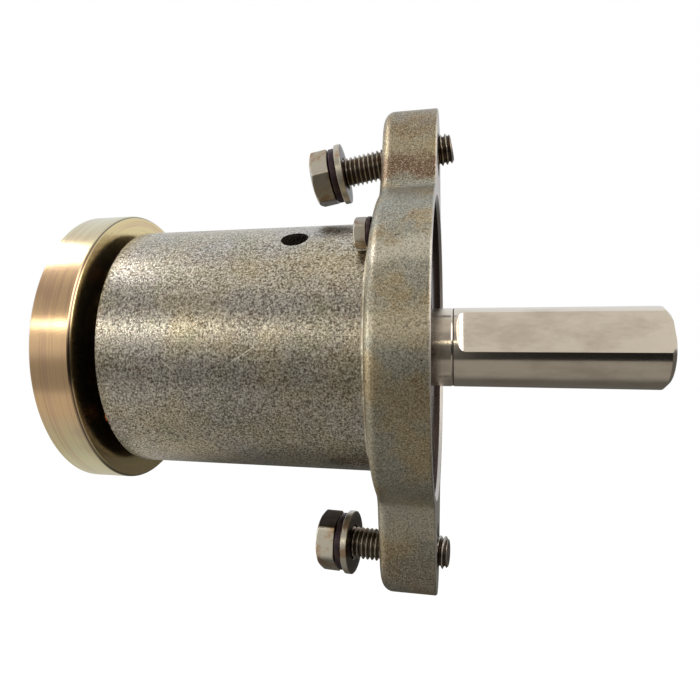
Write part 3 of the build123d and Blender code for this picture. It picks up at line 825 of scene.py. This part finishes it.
# The section's belly is a power of the sine and the cosine. The legs swell and shrink with the angle, by
# the sum of three slow waves and a quick ripple.
def weldBead(size):
    angle = np.linspace(0, 2 * pi, size["steps"], endpoint=False)
    slow = sum(height * np.sin(number * angle + start) for height, number, start in size["waves"])
    far, often = size["crowding"]
    quick = np.abs(np.sin(size["ripples"] * angle + far * np.sin(often * angle)))
    mean, slowShare, quickShare = size["swell"]
    swell = mean + slowShare * slow + quickShare * quick
    arc = np.linspace(0, pi / 2, size["sectionSteps"])
    rootBack, rootOut = zip(*size["roots"])
    back = np.concatenate([rootBack, np.sin(arc) ** size["bellyPower"]])
    out = np.concatenate([rootOut, np.cos(arc) ** size["bellyPower"]])
    away = size["plateX"] - back[None, :] * size["legBack"] * np.where(back > 0, swell[:, None], 1.0)
    radius = size["radius"] + out[None, :] * size["legOut"] * np.where(out > 0, swell[:, None], 1.0)
    y = -radius * np.cos(angle)[:, None]
    z = radius * np.sin(angle)[:, None]
    return wrapRows(size["name"], np.stack([away, y, z], axis=-1), True, size["sharpAngle"])


place(weldBead(weld), "housing", "weld_metal", "weld_bead")
print("weld bead made")


# The plate's front isn't a step that stands out but a shallow recess, and the shaft's seal sinks into the
# plate with its floor. Each ring of corners round the shaft goes from one distance along it and radius to
# another.
plateFront = {
    "rings": [
        ((0.0, 50.0), (0.0, 48.0)),
        ((2.7, 50.0), (-1.0, 47.0)),
        ((3.5, 49.2), (-3.0, 47.0)),
        ((3.5, 24.1), (-3.0, 24.1)),
        ((2.9, 23.5), (-3.6, 23.5)),
        ((-4.5, 23.5), (-10.4, 23.5)),
        ((-4.5, 20.0), (-10.4, 20.6)),
        ((-11.0, 20.0), (-11.0, 20.6)),
    ],
    "near": 0.06,
    "joinWithin": 0.002,
    "sealShift": -6.4,
    "sharpAngle": 28.0,
}


# a CAD node's points in millimetres and its faces, its loose triangles joined
def joinedCopy(node, within):
    work = bmesh.new()
    work.from_mesh(frame["nodes"][node].data)
    bmesh.ops.remove_doubles(work, verts=work.verts, dist=within * mm)
    points = np.array([point.co for point in work.verts]) / mm
    faces = [[point.index for point in face.verts] for face in work.faces]
    work.free()
    return points, faces


# each ring's points get the ring's new x, and y and z are scaled by the new radius over the old one
def recessedPlate(name, node, size):
    points, faces = joinedCopy(node, size["joinWithin"])
    away = np.hypot(points[:, 1], points[:, 2])
    moved = points.copy()
    for (x, radius), (newX, newRadius) in size["rings"]:
        ring = (np.abs(points[:, 0] - x) < size["near"]) & (np.abs(away - radius) < size["near"])
        moved[ring, 0] = newX
        moved[ring, 1:] = points[ring, 1:] * (newRadius / away[ring])[:, None]
    return newPiece(name, moved, faces, size["sharpAngle"])


def sunkCopy(name, node, size):
    points, faces = joinedCopy(node, size["joinWithin"])
    return newPiece(name, points + np.array((size["sealShift"], 0.0, 0.0)), faces, size["sharpAngle"])


place(recessedPlate("plateRecessed", "flange_plate", plateFront), "housing", "plate_steel", "flange_plate")
place(sunkCopy("shaftSealSunk", "front_shaft_seal", plateFront), "housing", "black_rubber",
      "front_shaft_seal")
place(sunkCopy("sealSpringSunk", "seal_garter_spring", plateFront), "housing", "spring_steel",
      "seal_garter_spring")
print("plate's front recessed")


# Studio, in metres: white all round for the camera and nearly so in the metal, a table that ends just in
# front of the pedestal, the room's dim front, and five soft lamps.
sky = {"colour": (0.93, 0.96, 1.0), "mirrored": 0.85, "fill": 0.80}
white = (1.0, 1.0, 1.0)


def makeWorld():
    world = bpy.data.worlds.new("studioWorld")
    bpy.context.scene.world = world
    world.use_nodes = True
    f = Finish(world.node_tree)
    seen, mirrored = f.rays("Is Camera Ray", "Is Glossy Ray")
    seen = seen + f.rays("Is Transmission Ray")[0]
    plain = (1 - seen) * (1 - mirrored)
    strength = f.math("MINIMUM", seen + mirrored * sky["mirrored"] + plain * sky["fill"], 1.0)
    shader = f.node("ShaderNodeBackground", {}, {0: f.mix(seen, sky["colour"], white), 1: strength})
    f.node("ShaderNodeOutputWorld", {}, {0: shader})


# The table's own glow: nearly white to the camera. The metal sees less of it, most in front on the left
# and behind on the left, where the photograph's metal is bright.
tableLook = {
    "z": -0.2,
    "front": -0.25,
    "size": 8.0,
    "colour": (0.10, 0.095, 0.085),
    "warm": (1.0, 0.95, 0.85),
    "seen": 0.95,
    "mirrored": 0.02,
    "near": 0.17,
    "nearLeft": 0.30,
    "backLeft": 0.48,
    # where the masks start and are full
    "leftX": (-0.10, -0.30),
    "nearY": (0.08, -0.02),
    "backLean": 0.45,
    "backX": (-0.06, -0.18),
}


def makeTable(look):
    half, front = look["size"], look["front"]
    corners = [(-half, front), (half, front), (half, half), (-half, half)]
    mesh = bpy.data.meshes.new("tableTop")
    mesh.from_pydata([(x, y, look["z"]) for x, y in corners], [], [(0, 1, 2, 3)])
    table = bpy.data.objects.new("tableTop", mesh)
    bpy.context.scene.collection.objects.link(table)
    material, f = newMaterial("paleTable")
    seen, mirrored = f.rays("Is Camera Ray", "Is Glossy Ray")
    paper = f.node("ShaderNodeBsdfDiffuse", {}, {0: opaque(look["colour"])})
    x, y = f.parts(f.point())[:2]
    left = f.rise(x, *look["leftX"])
    near = f.rise(y, *look["nearY"])
    backLeft = f.rise(x + look["backLean"] * y, *look["backX"]) * (1 - near)
    inMetal = look["mirrored"] + (look["near"] + look["nearLeft"] * left) * near
    glow = seen * look["seen"] + mirrored * (inMetal + look["backLeft"] * backLeft)
    tint = f.mix(seen, look["warm"], white)
    light = f.node("ShaderNodeEmission", {}, {0: tint, 1: glow})
    both = f.node("ShaderNodeAddShader", {}, {0: paper, 1: light})
    f.node("ShaderNodeOutputMaterial", {}, {0: both})
    mesh.materials.append(material)


# The room's front: a part of a ball in front of the table, seen in the metal alone. Each mask rises along
# one direction, over a span of it in shares of the ball's radius: west is to the left, lift is up and
# north is away from the camera.
roomFront = {
    "radius": 3.0,
    "span": (-105.0, 105.0, 85),
    "rise": (-60.0, 89.0, 60),
    "colour": (1.0, 0.96, 0.885),
    "most": 0.7,
    "masks": {
        "left": ("west", -0.01, 0.13),
        "farLeft": ("west", 0.25, 0.60),
        "above": ("lift", 0.05, 0.12),
        "top": ("lift", 0.55, 0.80),
        "bandFoot": ("lift", -0.22, -0.08),
        "bandHead": ("lift", 0.16, 0.10),
        "cardRight": ("west", 0.02, 0.07),
        "cardLeft": ("west", 0.24, 0.15),
        "cardFoot": ("lift", -0.75, -0.40),
        "side": ("north", -0.45, 0.15),
        "wall": ("west", 0.1, 0.8),
        "wallFoot": ("lift", -0.35, 0.1),
    },
    "low": 0.012,
    "lowLeft": 0.17,
    "lowFarLeft": 0.12,
    "high": 0.36,
    "highFarLeft": 0.10,
    "highTop": 0.30,
    "band": 0.20,
    "card": 0.28,
    "side": 0.5,
    "wall": 0.35,
}


# dim behind the camera and below, brighter overhead, with a band at the camera's height and a card on the
# left, and brighter towards both sides
def frontGlow(f, look):
    east, north, up = f.parts(f.point())
    shares = {
        "west": east * (-1 / look["radius"]),
        "lift": up * (1 / look["radius"]),
        "north": north * (1 / look["radius"]),
    }
    mask = {key: f.rise(shares[way], *span) for key, (way, *span) in look["masks"].items()}
    low = look["low"] + look["lowLeft"] * mask["left"] + look["lowFarLeft"] * mask["farLeft"]
    high = look["high"] + look["highFarLeft"] * mask["farLeft"] + look["highTop"] * mask["top"]
    below = 1 - mask["above"]
    band = mask["bandFoot"] * mask["bandHead"] * (mask["left"] + mask["farLeft"])
    card = mask["cardRight"] * mask["cardLeft"] * mask["cardFoot"] * below
    glow = low * below + high * mask["above"] + band * look["band"] + card * look["card"]
    wall = mask["wall"] * mask["wallFoot"] * look["wall"]
    glow = f.math("MAXIMUM", glow + mask["side"] * look["side"], wall)
    return f.math("MINIMUM", glow, look["most"])


# points of the ball: the radius times the cosines and sines of the rise and of the angle round from -Y
def makeFront(look):
    span = np.radians(np.linspace(*look["span"]))[None, :]
    rise = np.radians(np.linspace(*look["rise"]))[:, None]
    x = np.cos(rise) * np.sin(span)
    y = -np.cos(rise) * np.cos(span)
    z = np.broadcast_to(np.sin(rise), x.shape)
    points = look["radius"] * np.stack([x, y, z], axis=-1).reshape(-1, 3)
    index = np.arange(x.size).reshape(x.shape)
    quads = np.stack([index[:-1, :-1], index[:-1, 1:], index[1:, 1:], index[1:, :-1]], axis=-1)
    mesh = bpy.data.meshes.new("roomFront")
    mesh.from_pydata(points.tolist(), [], quads.reshape(-1, 4).tolist())
    room = bpy.data.objects.new("roomFront", mesh)
    bpy.context.scene.collection.objects.link(room)
    room.visible_camera = False
    room.visible_shadow = False
    room.visible_diffuse = False
    material, f = newMaterial("roomFrontGlow")
    shader = f.node("ShaderNodeEmission", {}, {0: opaque(look["colour"]), 1: frontGlow(f, look)})
    f.node("ShaderNodeOutputMaterial", {}, {0: shader})
    mesh.materials.append(material)


# Soft lamps: azimuth from -Y towards +X and elevation in degrees, distance, width and height in metres,
# glow, colour. The strips stand over the camera and draw the bright lines along the tube.
lamps = {
    "softBox": (-82.0, 48.5, 1.3, 0.42, 0.24, 7.0, (1.0, 0.98, 0.95)),
    "leftBox": (-72.0, 3.0, 1.2, 0.50, 0.50, 2.5, (0.98, 1.0, 0.96)),
    "sideBox": (66.0, 30.0, 1.3, 1.30, 0.80, 2.2, (1.0, 0.98, 0.97)),
    "leftStrip": (-33.0, 12.0, 1.6, 0.46, 0.09, 9.0, (1.0, 0.95, 0.80)),
    "rightStrip": (-5.0, 12.0, 1.6, 0.66, 0.04, 7.0, (1.0, 0.89, 0.66)),
}
lampAim = Vector((-0.03, 0.0, 0.0))


# a lamp on its own ray from the aim, facing back along it, its power in step with its area
def makeLamp(name, azimuth, elevation, distance, wide, tall, glow, colour):
    lamp = bpy.data.lights.new(name, "AREA")
    lamp.shape = "RECTANGLE"
    lamp.size = wide
    lamp.size_y = tall
    lamp.energy = glow * pi * wide * tall
    lamp.color = colour
    holder = bpy.data.objects.new(name, lamp)
    bpy.context.scene.collection.objects.link(holder)
    turn, tilt = radians(azimuth), radians(elevation)
    away = Vector((sin(turn) * cos(tilt), -cos(turn) * cos(tilt), sin(tilt)))
    holder.location = lampAim + away * distance
    holder.rotation_euler = away.to_track_quat("Z", "Y").to_euler()
    holder.visible_camera = False


makeWorld()
makeTable(tableLook)
makeFront(roomFront)
for name, values in lamps.items():
    makeLamp(name, *values)
print("studio lit:", len(lamps), "lamps")


# The camera stands where a fit to the outlines of the tube, shaft, disc and plate puts it, in millimetres
# and degrees. Its shift is that fit's too: the photograph is cropped off the lens's middle.
camera = {
    "position": (7.699, -202.772, -8.710),
    "yaw": 13.680,
    "pitch": 3.302,
    "roll": 0.786,
    "lens": 31.797,
    "sensor": 36.0,
    "shift": (0.0533, -0.0189),
    "clip": (0.01, 50.0),
}


def makeCamera():
    yaw, pitch, roll = (radians(camera[key]) for key in ("yaw", "pitch", "roll"))
    ahead = Vector((-sin(yaw) * cos(pitch), cos(yaw) * cos(pitch), sin(pitch)))
    level = Vector((cos(yaw), sin(yaw), 0.0))
    upright = level.cross(ahead)
    right = level * cos(roll) + upright * sin(roll)
    up = upright * cos(roll) - level * sin(roll)
    data = bpy.data.cameras.new("photoCamera")
    data.lens = camera["lens"]
    data.sensor_width = camera["sensor"]
    data.sensor_fit = "HORIZONTAL"
    data.shift_x, data.shift_y = camera["shift"]
    data.clip_start, data.clip_end = camera["clip"]
    holder = bpy.data.objects.new("photoCamera", data)
    turned = Matrix((right, up, -ahead)).transposed().to_4x4()
    holder.matrix_world = Matrix.Translation(Vector(camera["position"]) * mm) @ turned
    bpy.context.scene.collection.objects.link(holder)
    bpy.context.scene.camera = holder


makeCamera()
bpy.context.scene.view_settings.view_transform = "Standard"
print("camera placed")
